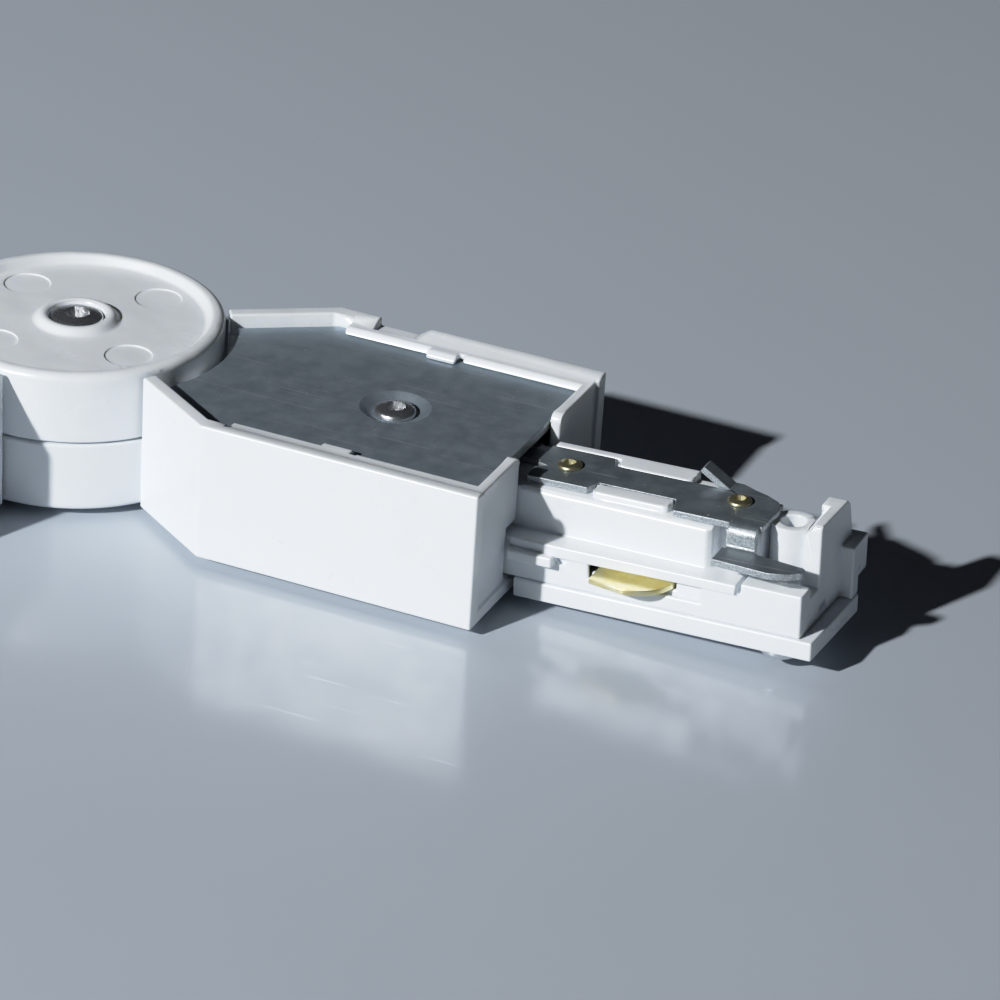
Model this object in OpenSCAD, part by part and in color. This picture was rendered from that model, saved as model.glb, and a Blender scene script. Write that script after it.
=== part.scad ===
// Flexible connector for two lengths of single-circuit lighting track.
// Two hollow arms turn about one hub. Each arm ends in a keyed plug with two
// brass contacts and an earth strip. The part lies on its visible face, with
// the steel back plates upwards. Origin: hub axis, on the plane it rests on.
// The right arm points along +X. The left arm mirrors it and is swung round.

/* [Pose] */
// Swing of the left arm away from straight, seen from the plate side
rest_bend = 55; // [-30:1:90]
// Slack angle at which each plug sits in its housing, resting on its base screw
plug_tilt = 2.5; // [0:0.1:2.5]

/* [Arm] */
// Width across an arm
arm_w = 35; // [32:0.5:44]
// Height of the housing walls
housing_h = 16.1; // [15.5:0.1:20]
// Hub axis to the end face that butts against the track
arm_len = 57.6; // [54:0.1:72]
// Hub axis to the shoulder where the long side begins
shoulder_x = 24.7; // [23:0.1:30]
// Half angle that the nose of an arm covers round the hub
nose_deg = 36.5; // [30:0.5:40]
// Thickness of the long walls
wall_t = 2; // [1.6:0.1:2.4]
// Thickness of the slanted walls beside the hub
nose_wall_t = 1.7; // [1.4:0.1:2]
// Thickness of the wall that the plug passes through
end_wall_t = 1.6; // [1.2:0.1:2]
// Thickness of the floor, which is the visible face in use
floor_t = 1.6; // [1.2:0.1:1.8]

/* [Hub] */
// Outer radius of the drums
drum_r = 16.75; // [15:0.05:18]
// Height over the rim of the upper drum
hub_h = 16.6; // [16.2:0.1:21]
// Height of the joint line between the drums
seam_z = 8.2; // [7.6:0.1:9]
// Running gap between the drums
seam_gap = 0.3; // [0.2:0.05:0.5]
// Gap between a drum and the hollow nose of the other arm
drum_clear = 0.55; // [0.4:0.05:0.8]
// Thickness of the drum walls
drum_wall = 2; // [1.5:0.1:2.4]
// Width of the rim that stands round the top
rim_w = 2.2; // [1.6:0.1:3]
// Depth of the dished top inside the rim
dish_d = 1; // [0.8:0.1:1.6]
// Thickness of the dished top
dish_t = 1.7; // [1.4:0.1:2]
// Radius of the pivot post
post_r = 2.4; // [2.2:0.1:3]
// Running clearance round the pivot post
post_fit = 0.05; // [0.03:0.01:0.1]
// Radius of the collar round the pivot screw
collar_r = 4.9; // [4.4:0.1:6]
// Radius of the shallow ejector marks
mark_r = 2.7; // [2:0.1:3]

/* [Back plate] */
// Thickness of the steel plate
plate_t = 1.2; // [0.8:0.1:1.5]
// Depth of the plate's face below the top of the walls
plate_drop = 1.4; // [1.2:0.1:1.8]
// Gap between the plate and the walls and lips round it
plate_gap = 0.15; // [0.1:0.05:0.3]
// How far the lips reach in from the long walls, over the plate
lip_w = 2.1; // [1.6:0.1:2.4]
// Depth of the lips' top below the top of the walls
lip_drop = 0.5; // [0.3:0.05:0.7]
// Width of the narrow ridge outside the lips
ridge_w = 1.1; // [0.8:0.05:1.3]
// How far the shelf under the plate reaches in
shelf_w = 2.2; // [1.6:0.1:3]
// Depth of that shelf
shelf_t = 1.4; // [1:0.1:2]
// Hub axis to the middle of the snap tabs
tab_x = 39.3; // [36:0.1:44]
// Hub axis to the plate screw
plate_screw_x = 39.8; // [36:0.1:44]
// Length of a snap tab
tab_len = 3.6; // [2.5:0.1:5]
// How far a snap tab reaches over the plate
tab_reach = 0.65; // [0.4:0.05:0.9]

/* [Plug] */
// Length of the plug in front of the end wall
plug_len = 34.4; // [32:0.1:40]
// Width across the base of the plug
base_w = 16; // [15:0.1:17]
// Thickness of the base
base_t = 2.2; // [1.8:0.1:2.4]
// Width across the body above the base
body_w = 15.4; // [14.6:0.1:16]
// Height of the underside of the ledge
ledge_z = 6; // [5.8:0.1:6.4]
// Thickness of the ledge
ledge_t = 1.1; // [0.8:0.1:1.4]
// Width across the raised upper body
upper_w = 10.4; // [9.6:0.1:11]
// Height of the seat for the earth strip
seat_z = 11.96; // [11.4:0.02:12.2]
// Length of the full-width upper body
upper_len = 22.6; // [22:0.1:23]
// Clearance between the plug and the slot in the end wall
slot_gap = 0.3; // [0.2:0.05:0.5]

/* [Earth strip] */
// Thickness of the zinc-plated strip
strip_t = 0.8; // [0.6:0.05:1]
// Half width of the wide inner part
strip_half = 4; // [3.6:0.1:4.4]
// Half width of the waist between the pads
waist_half = 2.3; // [2:0.1:2.8]
// Where the waist begins
waist_x0 = 7.9; // [7:0.1:8.5]
// Where the waist ends
waist_x1 = 17.4; // [16.5:0.1:18]
// Drop from the strip's face down to the earth blade's face
blade_drop = 2.46; // [2.2:0.02:2.8]
// How far the earth blade reaches from the middle
blade_reach = 9.3; // [8.8:0.1:9.8]

/* [Contacts] */
// Thickness of the brass
brass_t = 0.6; // [0.5:0.05:0.7]
// Height of the contact's upper face
brass_z = 5.1; // [4.9:0.05:5.3]
// How far a contact reaches from the middle
brass_reach = 10.5; // [9.8:0.1:11]

/* [Wires] */
// Radius over the insulation
wire_r = 0.95; // [0.8:0.05:1]

/* [Hidden] */
$fn = 64;
eps = 0.01;
far = 100;

// Small seating gap between stacked pieces
seat_gap = 0.03;

// Hub levels
low_top = seam_z - seam_gap / 2;
high_bottom = seam_z + seam_gap / 2;
dish_z = hub_h - dish_d;
clear_r = drum_r + drum_clear;
inner_r = drum_r - drum_wall;
nose_x = clear_r * cos(nose_deg);
nose_y = clear_r * sin(nose_deg);
nose_rise = atan2(arm_w / 2 - nose_y, shoulder_x - nose_x);
hollow_wall_t = 1.6;
hollow_out_r = clear_r + hollow_wall_t;
passage_half = 8;
passage_x0 = sqrt(inner_r * inner_r - passage_half * passage_half) - 0.4;
passage_lintel = 0.9;

// Pivot: post with a shoulder, screw head in the collar
shoulder_r = 4.2;
post_top = dish_z - 0.3;
collar_top = hub_h - 0.2;
head_pocket_r = 3.2;
pivot_head_r = 2.85;
pivot_head_h = 1.05;
pivot_shank_r = 1.5;
pivot_shank_len = 9;
thread_fit = 0.05;
mark_ring_r = 10.85;
mark_depth = 0.15;
mark_start = 84.4;

// Back plate levels
plate_z1 = housing_h - plate_drop;
plate_z0 = plate_z1 - plate_t;
plate_hub_gap = 0.9;
plate_slant_gap = 0.5;
rail_start = shoulder_x + 2.3;
lip_z = housing_h - lip_drop;
lip_y = arm_w / 2 - wall_t - lip_w;
lip_slope = 0.6;
ridge_slope = 1.25;
end_recess = 0.4;
dimple_r = 4;
dimple_hole_r = 1.6;
dimple_flat_r = 2.6;
dimple_depth = 0.75;
plate_head_r = 2.4;
plate_head_h = 0.7;
plate_shank_r = 1.25;
plate_shank_len = 7;
plate_post_r = 3;

// Plug levels, in the plug's own frame: x = 0 at the end wall's face
ledge_top = ledge_z + ledge_t;
ledge_w = base_w;
strip_top = seat_z + strip_t;
slot_upper = upper_w / 2 + slot_gap;
slot_lower = body_w / 2 + slot_gap;
slot_step = ledge_top + slot_gap + 0.5;
sill_z = floor_t + 0.3;
tongue_len = 9;
flange_t = 1.8;
flange_half = 9.6;
wall_gap = 0.35;
inner_screw_x = 3.8;
outer_screw_x = 23.5;
body_z = base_t + seat_gap;
body_x0 = 0.3;
wall_edge = 0.45;
wall_flare = 0.55;
pad_inset = 0.35;
pad_gap = 0.15;
screw_post_x = 29.7;
screw_post_r = 2.45;
screw_post_hole_r = 1.35;
screw_hole_r = 0.8;

// Far end of the plug: deck, end blocks on both sides and the fin between them
end_near_x = plug_len - 0.7;
end_far_x = plug_len - 0.1;
base_x0 = 0.8;
base_end_x = plug_len + 0.75;
clamp_ribs = [3, 20];
deck_z = 6;
ledge_x1 = 26.4;
block_gap = 0.4;
block_top = 7.25;
block_in = 5;
far_block_x1 = plug_len + 1.2;
far_block_top = 8.4;
far_block_in = 3.2;
corner_y = 5;
corner_cut = 2.8;
corner_top = 4.2;
fin_x = plug_len - 2.5;
fin_top = 13.3;
fin_near = 2.8;
core_half = 3.2;
core_x1 = 27.4;

// Contact chambers under the body and their windows
window_x0 = 9.4;
window_x1 = 22.3;
window_z = 3.9;
skin_t = 0.6;
channel_inner = 1.5;
channel_end = 24;
blade_x0 = 10.3;
blade_x1 = 14.2;
blade_run = 4.9;
base_screw_x = 30.9;
base_screw_y = -5.6;
base_head_r = 2.2;
base_shank_r = 1.25;

// Barrels that grip the wire ends
barrel_r = 1.4;
barrel_bore = 1.15;
barrel_len = 3;
contact_y = 4;
earth_y = 1.2;
tail_len = 9.6;

// Wire routes: points in the right arm, round the hub, then in the left arm
wire_end = arm_len - tail_len - 1;
wire_lead = wire_end - 3.2;
live_right = [[wire_end, -4, 4.34], [wire_lead, -4, 4.2], [39, -7.5, 4.6], [33, -8, 4.8],
              [26, -5.5, 4.8], [19.5, -4, 4.6], [14, -5, 4.6]];
live_hub = [[7.6, -7.4, 5.6], [2.4, -10, 7.4], [-2.6, -11.2, 9.4]];
live_left = [[14, -4.4, 10.6], [19.5, -4, 10.6], [26, -5.5, 9], [33, -8, 6],
             [39, -7.5, 4.6], [wire_lead, -4, 4.2], [wire_end, -4, 4.34]];
neutral_right = [[wire_end, 4, 4.34], [wire_lead, 4, 4.2], [39, 7.5, 4.6], [33, 7.5, 4.8],
                 [26, 4.5, 4.8], [19.5, 2, 4.6], [14, 2.6, 4.6]];
neutral_hub = [[7.2, 4.4, 4.8], [2.4, 8, 5.4], [-3.4, 7.6, 6.4], [-7.6, 3.4, 7.8],
               [-8.6, -2, 9.2]];
neutral_left = [[14, 2.6, 10.6], [19.5, 2, 10.6], [26, 4.5, 9], [33, 7.5, 6],
                [39, 7.5, 4.6], [wire_lead, 4, 4.2], [wire_end, 4, 4.34]];
earth_right = [[wire_end, 1.2, 10.9], [wire_lead + 0.1, 1.3, 10.75],
               [wire_lead - 0.8, 4.2, 10.6], [39, 7.2, 10], [33, 10, 8], [26, 8, 5.4],
               [19.5, 5.5, 4.6], [14, 5.8, 4.8]];
earth_hub = [[8, 8.8, 5], [1, 11.8, 5.6], [-6.4, 9.8, 6.6], [-11, 4, 8],
             [-12, -2.6, 9.4]];
earth_left = [[14, 6, 10.6], [19.5, 5.5, 10.6], [26, 8, 10.6], [33, 10, 10.6],
              [39, 7.2, 10.7], [wire_lead - 0.8, 4.2, 10.7], [wire_lead + 0.1, 1.3, 10.75],
              [wire_end, 1.2, 10.9]];

// Colours of the finishes
white_abs = [0.93, 0.94, 0.95];
dull_zinc = [0.45, 0.48, 0.51];
bright_zinc = [0.75, 0.77, 0.8];
yellow_zinc = [0.8, 0.74, 0.45];
brass_colour = [0.88, 0.78, 0.42];

module right_arm() { children(); }

module left_arm() { rotate([0, 0, rest_bend]) mirror([1, 0, 0]) children(); }

module in_plug() { translate([arm_len, 0, 0]) rotate([0, -plug_tilt, 0]) children(); }

// Area of an arm, drawn in by a wall of each kind: side, slanted and end
module arm_area(side, slant, end) {
    half = arm_w / 2 - side;
    near_y = nose_y - slant / cos(nose_rise);
    turn_x = nose_x + (half - near_y) / tan(nose_rise);
    polygon([[nose_x, -near_y], [turn_x, -half], [arm_len - end, -half],
             [arm_len - end, half], [turn_x, half], [nose_x, near_y]]);
}

module slab(z0, z1) { translate([0, 0, z0]) linear_extrude(z1 - z0) children(); }

// Pan head screw: head above z = 0, shank below
module pan_screw(head_r, head_h, shank_r, shank_len, slot_w) {
    dome_r = 1.6 * head_r;
    difference() {
        union() {
            intersection() {
                cylinder(r = head_r, h = head_h);
                translate([0, 0, head_h - dome_r]) sphere(r = dome_r);
            }
            translate([0, 0, -shank_len]) cylinder(r = shank_r, h = shank_len + eps);
        }
        for (turn = [20, 110])
            rotate([0, 0, turn])
                translate([-0.55 * head_r, -slot_w / 2, 0.35 * head_h])
                    cube([1.1 * head_r, slot_w, head_h]);
    }
}

// Slot in the end wall: wide below for the ledge, narrow above, rounded lead-in
module slot_profile() {
    lead = 1;
    top = lip_z;
    translate([-slot_lower, sill_z]) square([2 * slot_lower, slot_step - sill_z]);
    translate([-slot_upper, sill_z]) square([2 * slot_upper, far]);
    for (side = [0, 1])
        mirror([side, 0]) difference() {
            translate([slot_upper - eps, top - lead]) square([lead, lead + 1]);
            translate([slot_upper + lead, top - lead]) circle(r = lead);
        }
}

// Hollow moulding of one arm without its drum
module arm_shell(drum_z0, drum_z1) {
    clear_z0 = drum_z0 < eps ? drum_z1 : -1;
    clear_z1 = drum_z0 < eps ? far : drum_z0;
    shelf_z = plate_z0 - shelf_t;
    difference() {
        slab(0, housing_h) arm_area(0, 0, 0);
        slab(floor_t, shelf_z) difference() {
            arm_area(wall_t, nose_wall_t, end_wall_t);
            circle(r = hollow_out_r);
        }
        slab(shelf_z - eps, plate_z0 + eps) difference() {
            arm_area(wall_t + shelf_w, nose_wall_t + 1, end_wall_t);
            circle(r = hollow_out_r);
        }
        slab(plate_z0, plate_z1 + plate_gap) arm_area(wall_t, nose_wall_t, end_wall_t);
        intersection() {
            slab(plate_z1, far) arm_area(wall_t, nose_wall_t, end_wall_t);
            box(0, rail_start, -far, far, 0, far);
        }
        lip_opening();
        slab(clear_z0, clear_z1) circle(r = clear_r);
        slab(plate_z0, far) circle(r = clear_r);
        along_x(arm_len - end_wall_t - 1, arm_len + 1) slot_profile();
        far_notch();
        for (side = [-1, 1]) tab_slit(side);
        box(arm_len - end_recess, far, wall_t - arm_w / 2, arm_w / 2 - wall_t, floor_t - 0.1, far);
    }
}

// Opening between the lips: lead-in slopes, lip tops and the outer ridges
module lip_opening() {
    low = plate_z1 + plate_gap;
    ridge_y = arm_w / 2 - ridge_w;
    along_x(rail_start - eps, arm_len - end_wall_t)
        polygon([[-lip_y, low - eps], [lip_y, low - eps], [lip_y + lip_slope, lip_z + eps],
                 [-lip_y - lip_slope, lip_z + eps]]);
    along_x(rail_start, arm_len + 1)
        polygon([[-ridge_y + ridge_slope, lip_z], [ridge_y - ridge_slope, lip_z],
                 [ridge_y, housing_h], [ridge_y, far], [-ridge_y, far], [-ridge_y, housing_h]]);
}

// Relief in the far ridge, with a ramp at its end
module far_notch() {
    depth = 1;
    start = shoulder_x + 5.2;
    ramp = 1.4;
    length = 4.8;
    translate([0, far, 0])
        rotate([90, 0, 0])
            linear_extrude(far - arm_w / 2 + ridge_w + ridge_slope)
                polygon([[start, housing_h - depth], [start + length, housing_h - depth],
                         [start + length + ramp, housing_h + eps],
                         [start + length + ramp, far], [start, far]]);
}

// Slit beside a snap tab, which lets it spring
module tab_slit(side) {
    slit_w = 0.6;
    slit_depth = 0.8;
    mirror([0, side > 0 ? 0 : 1, 0])
        box(tab_x + tab_len / 2, tab_x + tab_len / 2 + slit_w, lip_y - 1, lip_y + slit_depth,
            plate_z1, far);
}

// Snap tab with a lead-in slope, over the edge of the plate
module snap_tab(side) {
    bottom = plate_z1 + plate_gap;
    reach_y = lip_y - tab_reach;
    root_y = lip_y + 0.7;
    nose = 0.25;
    mirror([0, side > 0 ? 0 : 1, 0])
        along_x(tab_x - tab_len / 2, tab_x + tab_len / 2)
            polygon([[root_y, bottom], [reach_y, bottom], [reach_y, bottom + nose],
                     [reach_y + lip_slope, lip_z], [root_y, lip_z]]);
}

// Post and ribs that take the plate screw
module plate_post() {
    top = plate_z0 - dimple_depth - seat_gap;
    rib_t = 1.2;
    rib_len = 6.5;
    rib_clear = 1.7;
    translate([plate_screw_x, 0, floor_t - eps]) {
        cylinder(r = plate_post_r, h = top - floor_t);
        for (turn = [0, 180])
            rotate([0, 0, turn])
                translate([0, -rib_t / 2, 0])
                    cube([rib_len, rib_t, strip_top - 2 * barrel_r - rib_clear - floor_t]);
    }
}

// Lower drum of the right arm: cup, shouldered post and pilot hole
module lower_drum() {
    difference() {
        union() {
            rotate_extrude()
                polygon([[0, 0], [drum_r - 0.3, 0], [drum_r, 0.3], [drum_r, low_top],
                         [inner_r, low_top], [inner_r, floor_t], [shoulder_r, floor_t],
                         [shoulder_r, high_bottom - seat_gap], [post_r, high_bottom - seat_gap],
                         [post_r, post_top], [0, post_top]]);
        }
        translate([0, 0, post_top - pivot_shank_len - 0.6])
            cylinder(r = pivot_shank_r + thread_fit, h = far);
    }
}

// Upper drum of the left arm: rounded rim, dished top, collar and sleeve
module upper_drum() {
    round = 0.9;
    difference() {
        rotate_extrude() difference() {
            union() {
                polygon([[post_r + post_fit, high_bottom], [shoulder_r, high_bottom],
                         [shoulder_r, dish_z - dish_t], [inner_r, dish_z - dish_t],
                         [inner_r, high_bottom], [drum_r, high_bottom],
                         [drum_r, hub_h - round], [drum_r - round, hub_h - round],
                         [drum_r - round, hub_h], [drum_r - rim_w + 0.7, hub_h],
                         [drum_r - rim_w, dish_z], [collar_r, dish_z],
                         [collar_r - 0.35, collar_top - 0.4], [collar_r - 0.75, collar_top],
                         [head_pocket_r + 0.3, collar_top], [head_pocket_r, collar_top - 0.3],
                         [head_pocket_r, post_top - seat_gap],
                         [post_r + post_fit, post_top - seat_gap]]);
                translate([drum_r - round, hub_h - round]) circle(r = round);
            }
        }
        for (k = [0:3])
            rotate([0, 0, mark_start + 90 * k])
                translate([mark_ring_r, 0, dish_z - mark_depth])
                    cylinder(r = mark_r, h = 1);
    }
}

// Way for the wires from an arm into its drum
module wire_passage(z0, z1) {
    box(passage_x0, hollow_out_r + 0.4, -passage_half, passage_half, z0, z1);
}

module housing_with_lower_drum() {
    color(white_abs) difference() {
        union() {
            difference() {
                arm_shell(0, low_top);
                slab(floor_t, low_top + eps) circle(r = inner_r);
            }
            lower_drum();
            for (side = [-1, 1]) snap_tab(side);
            plate_post();
        }
        wire_passage(floor_t, low_top);
        plate_pilot();
    }
}

module housing_with_upper_drum() {
    color(white_abs) difference() {
        union() {
            difference() {
                arm_shell(high_bottom, far);
                slab(-1, dish_z - dish_t) circle(r = inner_r);
            }
            upper_drum();
            for (side = [-1, 1]) snap_tab(side);
            plate_post();
        }
        wire_passage(high_bottom, plate_z0 - passage_lintel);
        plate_pilot();
    }
}

module plate_pilot() {
    translate([plate_screw_x, 0, plate_z0 - plate_shank_len - 1.5])
        cylinder(r = plate_shank_r + thread_fit, h = far);
}

// Steel plate: hollow front edge round the hub, pressed dimple for its screw
module back_plate() {
    color(dull_zinc) difference() {
        union() {
            difference() {
                slab(plate_z0 + seat_gap, plate_z1) difference() {
                    arm_area(wall_t + plate_gap, nose_wall_t + plate_slant_gap,
                             end_wall_t + plate_gap);
                    circle(r = clear_r + plate_hub_gap);
                    tongue_relief();
                }
                translate([plate_screw_x, 0, 0]) cylinder(r = dimple_r, h = far);
            }
            translate([plate_screw_x, 0, 0])
                rotate_extrude()
                    polygon([[dimple_hole_r, plate_z0 - dimple_depth],
                             [dimple_flat_r + 0.3, plate_z0 - dimple_depth],
                             [dimple_r, plate_z0 + seat_gap], [dimple_r + eps, plate_z1],
                             [dimple_flat_r, plate_z1 - dimple_depth],
                             [dimple_hole_r, plate_z1 - dimple_depth]]);
        }
        translate([plate_screw_x, 0, 0]) cylinder(r = dimple_hole_r, h = far);
    }
}

// Small corner nicks at the plug end of the plate
module tongue_relief() {
    nick = 1;
    for (side = [-1, 1])
        translate([arm_len - end_wall_t, side * (arm_w / 2 - wall_t)])
            rotate(45) square(nick, center = true);
}

module plate_screw() {
    color(bright_zinc)
        translate([plate_screw_x, 0, plate_z1 - dimple_depth + seat_gap])
            pan_screw(plate_head_r, plate_head_h, plate_shank_r, plate_shank_len, 0.7);
}

module pivot_screw() {
    color(bright_zinc)
        translate([0, 0, post_top + seat_gap])
            pan_screw(pivot_head_r, pivot_head_h, pivot_shank_r, pivot_shank_len, 0.8);
}

module box(x0, x1, y0, y1, z0, z1) {
    translate([x0, y0, z0]) cube([x1 - x0, y1 - y0, z1 - z0]);
}

// Cross section of the plug body across its length, open ledge and upper body
module plug_section() {
    polygon([[-body_w / 2, body_z], [body_w / 2, body_z],
             [body_w / 2, ledge_z], [ledge_w / 2, ledge_z], [ledge_w / 2, ledge_top],
             [upper_w / 2, ledge_top], [upper_w / 2, seat_z - wall_edge],
             [upper_w / 2 - wall_edge, seat_z], [-upper_w / 2 + wall_edge, seat_z],
             [-upper_w / 2, seat_z - wall_edge], [-upper_w / 2, ledge_top],
             [-ledge_w / 2, ledge_top], [-ledge_w / 2, ledge_z], [-body_w / 2, ledge_z]]);
}

module neck_section() {
    polygon([[-body_w / 2, body_z], [body_w / 2, body_z],
             [body_w / 2, ledge_top], [upper_w / 2, ledge_top], [upper_w / 2, seat_z],
             [-upper_w / 2, seat_z], [-upper_w / 2, ledge_top], [-body_w / 2, ledge_top]]);
}

// Near wall of the upper body, which flares out slightly along the plug
module flared_wall() {
    depth = 2;
    turn = asin(wall_flare / (upper_len - body_x0));
    translate([body_x0, -upper_w / 2, 0])
        rotate([0, 0, -turn])
            along_x(0, (upper_len - body_x0) * cos(turn))
                polygon([[0, ledge_top - eps], [0, seat_z - wall_edge], [wall_edge, seat_z],
                         [depth, seat_z], [depth, ledge_top - eps]]);
}

module along_x(x0, x1) {
    translate([x0, 0, 0]) rotate([90, 0, 90]) linear_extrude(x1 - x0) children();
}

// End of the plug: fin behind the screw post, scooped out on the post's side
module fin() {
    scoop_r = 1.35;
    scoop_x = fin_x - 0.3;
    scoop_end = 2.3;
    shoulder_y = 5.4;
    waist_y = 6.3;
    foot_y = 6.9;
    difference() {
        along_x(fin_x, plug_len)
            polygon([[-fin_near, body_z], [foot_y, body_z], [foot_y, deck_z], [waist_y, 9],
                     [shoulder_y, fin_top - 0.7], [shoulder_y - 0.8, fin_top],
                     [0.3 - fin_near, fin_top], [-fin_near, fin_top - 0.3]]);
        translate([scoop_x, -far, fin_top + 0.2])
            rotate([-90, 0, 0]) cylinder(r = scoop_r, h = far + scoop_end);
    }
}

// Block at the far side of the plug's end, flush with the base's outer edge
module far_block() {
    box(ledge_x1, far_block_x1, far_block_in, body_w / 2, deck_z - eps, far_block_top);
    box(end_near_x - 3, far_block_x1, far_block_in, body_w / 2, body_z, deck_z);
}

// Slanted cut through the far outer corner, under the block
module corner_relief() {
    slab(-1, corner_top)
        polygon([[base_end_x + 1, corner_y], [base_end_x + 1, far], [0, far],
                 [base_end_x - corner_cut, body_w / 2 + 0.3], [base_end_x + 0.65, corner_y]]);
}

// All that lies beyond the slightly slanted end of deck, near block and fin
module end_slant() {
    turn = atan2(end_far_x - end_near_x, body_w);
    translate([end_near_x, -body_w / 2, 0])
        rotate([0, 0, -turn]) box(0, far, -far, 1.2 * body_w, -1, far);
}

// White moulding of the plug: tongue, keyed ledge, pads, screw post and end blocks
module plug_body() {
    pilot_depth = 4.6;
    base_pilot = 6.6;
    lug_x0 = 0.4;
    lug_x1 = 5.6;
    lug_out = 1;
    lug_z = 4.8;
    notch_r = 0.65;
    notch_depth = 0.5;
    corner_flat = 0.9;
    vent_size = 0.8;
    vent_z = base_t + vent_size;
    color(white_abs) difference() {
        union() {
            difference() {
                plug_blank();
                end_slant();
            }
            far_block();
            box(lug_x0, lug_x1, -ledge_w / 2 - lug_out, -body_w / 2 + eps, lug_z, ledge_z + eps);
        }
        for (side = [-1, 1]) contact_channel(side);
        translate([screw_post_x, 0, -1]) cylinder(r = screw_post_hole_r, h = far);
        for (x = [inner_screw_x, outer_screw_x])
            translate([x, 0, seat_z - pilot_depth])
                cylinder(r = screw_hole_r + thread_fit, h = far);
        translate([base_screw_x, base_screw_y, 0])
            cylinder(r = base_shank_r + thread_fit, h = base_pilot);
        translate([lug_x1 + notch_r, -body_w / 2 - eps, lug_z + notch_r])
            rotate([-90, 0, 0]) cylinder(r = notch_r, h = notch_depth);
        slab(ledge_top, far)
            translate([upper_len, -upper_w / 2 - wall_flare])
                rotate(45) square(corner_flat, center = true);
        corner_relief();
        box(end_far_x - vent_size, far, 0.4 - fin_near, 2.6 - fin_near, vent_z, vent_z + vent_size);
    }
}

// Solid form of the plug body before its end is trimmed
module plug_blank() {
    web_half = 1;
    rim_out = 0.1;
    along_x(body_x0, upper_len) plug_section();
    along_x(-end_wall_t - wall_gap - eps, body_x0 + eps) neck_section();
    flared_wall();
    tongue();
    for (side = [-1, 1]) pad(side);
    box(body_x0, waist_x1 - pad_inset, strip_half + pad_gap, upper_w / 2 + rim_out,
        seat_z - wall_edge, strip_top);
    box(upper_len - eps, core_x1, -core_half, core_half, ledge_top - 1, seat_z);
    box(upper_len - eps, ledge_x1, -ledge_w / 2, ledge_w / 2, ledge_z - eps, ledge_top);
    box(upper_len - eps, plug_len, -body_w / 2, body_w / 2, body_z, deck_z);
    box(ledge_x1 + block_gap, plug_len, -body_w / 2, -block_in, deck_z - eps, block_top);
    translate([screw_post_x, 0, body_z]) cylinder(r = screw_post_r, h = seat_z - body_z);
    fin();
    box(screw_post_x, fin_x + 1, -web_half, web_half, body_z, seat_z);
}

// Pads that fill the waist of the earth strip and keep it from turning
module pad(side) {
    r = 0.6;
    length = waist_x1 - waist_x0 - 2 * pad_inset;
    width = upper_w / 2 - wall_edge - pad_gap - waist_half - pad_gap;
    mirror([0, side > 0 ? 0 : 1, 0])
        translate([waist_x0 + pad_inset, waist_half + pad_gap, seat_z - eps])
            linear_extrude(strip_t + eps) {
                translate([r, 0]) square([length - 2 * r, width]);
                translate([0, r]) square([length, width - 2 * r]);
                for (x = [r, length - r], y = [r, width - r])
                    translate([x, y]) circle(r = r);
            }
}

// Part of the plug behind the end wall, with the flange that holds it in its slot
module tongue() {
    back = -end_wall_t - wall_gap;
    top = seat_z - 0.8;
    box(back - flange_t, back, -flange_half, flange_half, body_z, top);
    box(-tongue_len, back, -body_w / 2, body_w / 2, body_z, top);
}

// Channel under the body for one brass contact, with its window in the side
module contact_channel(side) {
    outer = body_w / 2 - skin_t;
    barrel_room = 1.6;
    rib_room = 0.8;
    mirror([0, side > 0 ? 0 : 1, 0]) {
        box(-tongue_len - 1, channel_end, channel_inner, outer, 0, brass_z + seat_gap);
        box(-tongue_len - 1, -end_wall_t - wall_gap - flange_t, channel_inner + 0.6, outer, 0,
            brass_z + barrel_room);
        box(window_x0, window_x1, outer - rib_room, far, window_z, ledge_z - seat_gap);
        box(-far, body_x0, outer, far, ledge_top, far);
    }
}

// Base plate with the ribs that clamp the contacts
module plug_base() {
    color(white_abs) difference() {
        union() {
            slab(0, base_t)
                polygon([[base_x0, -base_w / 2], [base_end_x, -base_w / 2],
                         [base_end_x + 0.65, corner_y], [base_end_x + 0.65, base_w / 2],
                         [base_x0, base_w / 2]]);
            for (side = [-1, 1])
                mirror([0, side > 0 ? 0 : 1, 0]) {
                    for (x = clamp_ribs)
                        box(x, x + 2, contact_y - 1, contact_y + 1, base_t - eps,
                            brass_z - brass_t - seat_gap);
                    window_rib();
                }
        }
        corner_relief();
        translate([base_screw_x, base_screw_y, -1]) cylinder(r = base_shank_r + 0.35, h = far);
        translate([screw_post_x, 0, -1]) cylinder(r = screw_post_hole_r, h = far);
    }
}

// Rib behind a contact window: low under the blade, high beyond it
module window_rib() {
    rib_t = 0.6;
    gap = 0.1;
    outer = body_w / 2 - skin_t - gap;
    low = brass_z - brass_t - 2 * seat_gap;
    blade_end = blade_x1 + blade_run + 2 * gap;
    box(window_x0 + gap, blade_end, outer - rib_t, outer, base_t - eps, low);
    box(blade_end - eps, window_x1 - gap, outer - rib_t, outer, base_t - eps,
        ledge_z - 2 * gap);
}

module base_screw() {
    color(bright_zinc)
        translate([base_screw_x, base_screw_y, -seat_gap])
            mirror([0, 0, 1]) pan_screw(base_head_r, 1.1, base_shank_r, 6, 0.6);
}

module strip_screw(x) {
    color(yellow_zinc)
        translate([x, 0, strip_top + seat_gap]) pan_screw(1.35, 0.45, screw_hole_r, 4.6, 0.45);
}

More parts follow.
